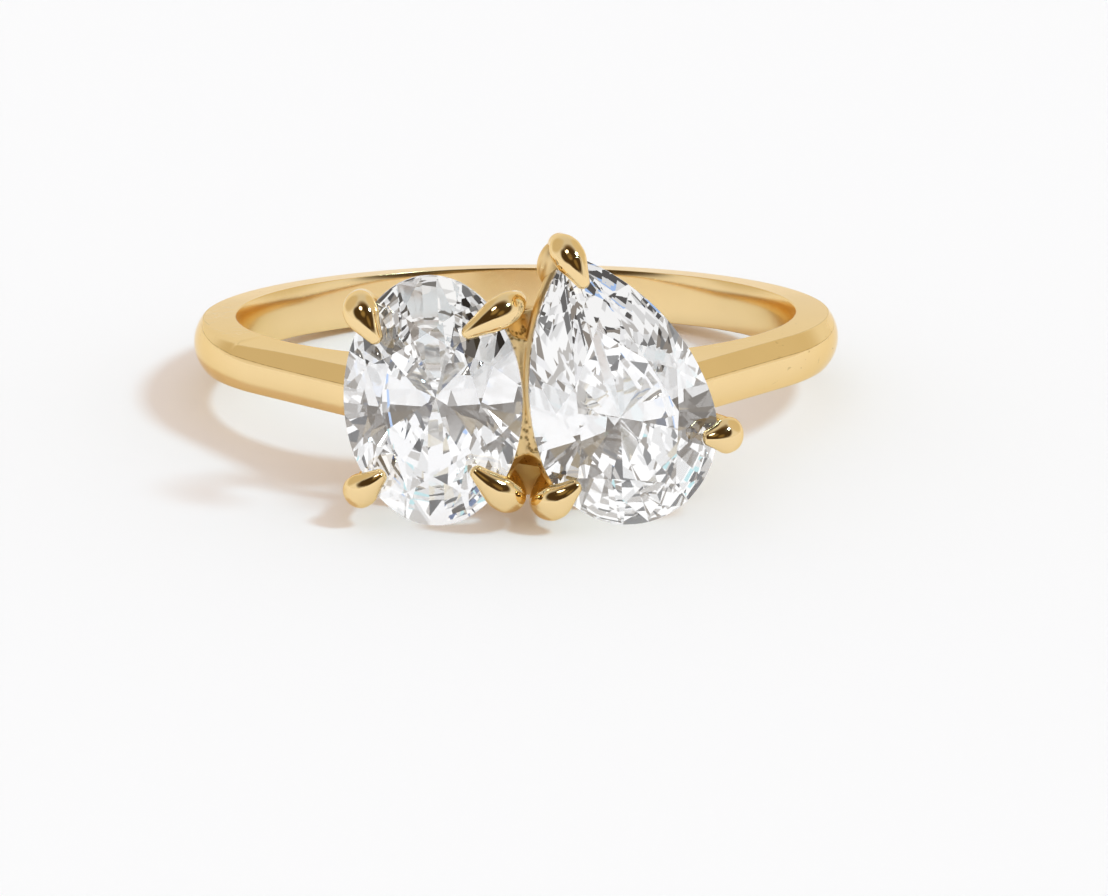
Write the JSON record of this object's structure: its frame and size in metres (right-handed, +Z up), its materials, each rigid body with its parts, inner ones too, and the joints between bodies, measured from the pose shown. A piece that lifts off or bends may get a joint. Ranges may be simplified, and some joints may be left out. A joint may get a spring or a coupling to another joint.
{
  "type": "toi et moi ring",
  "caption": "Yellow gold ring lying on its side, with an oval and a pear brilliant set side by side in claws on a plain domed shank with chamfered shoulders.",
  "frame": {"origin": "middle of the finger bore", "axes": "the ring lies on its side as it rests on a table: +Z is up, the head faces -Y and the back of the shank is at +Y, and the bore's axis leans 6.8 degrees from +Z towards +Y"},
  "size_m": [0.0192, 0.0237, 0.0084],
  "materials": {
    "gold": "polished 18 carat yellow gold",
    "oval_diamond": "cut and polished, colourless",
    "pear_diamond": "cut and polished, colourless"
  },
  "bodies": {
    "root": {"gold_mount": "gold", "oval_stone": "oval_diamond", "pear_stone": "pear_diamond"}
  },
  "joints": []
}
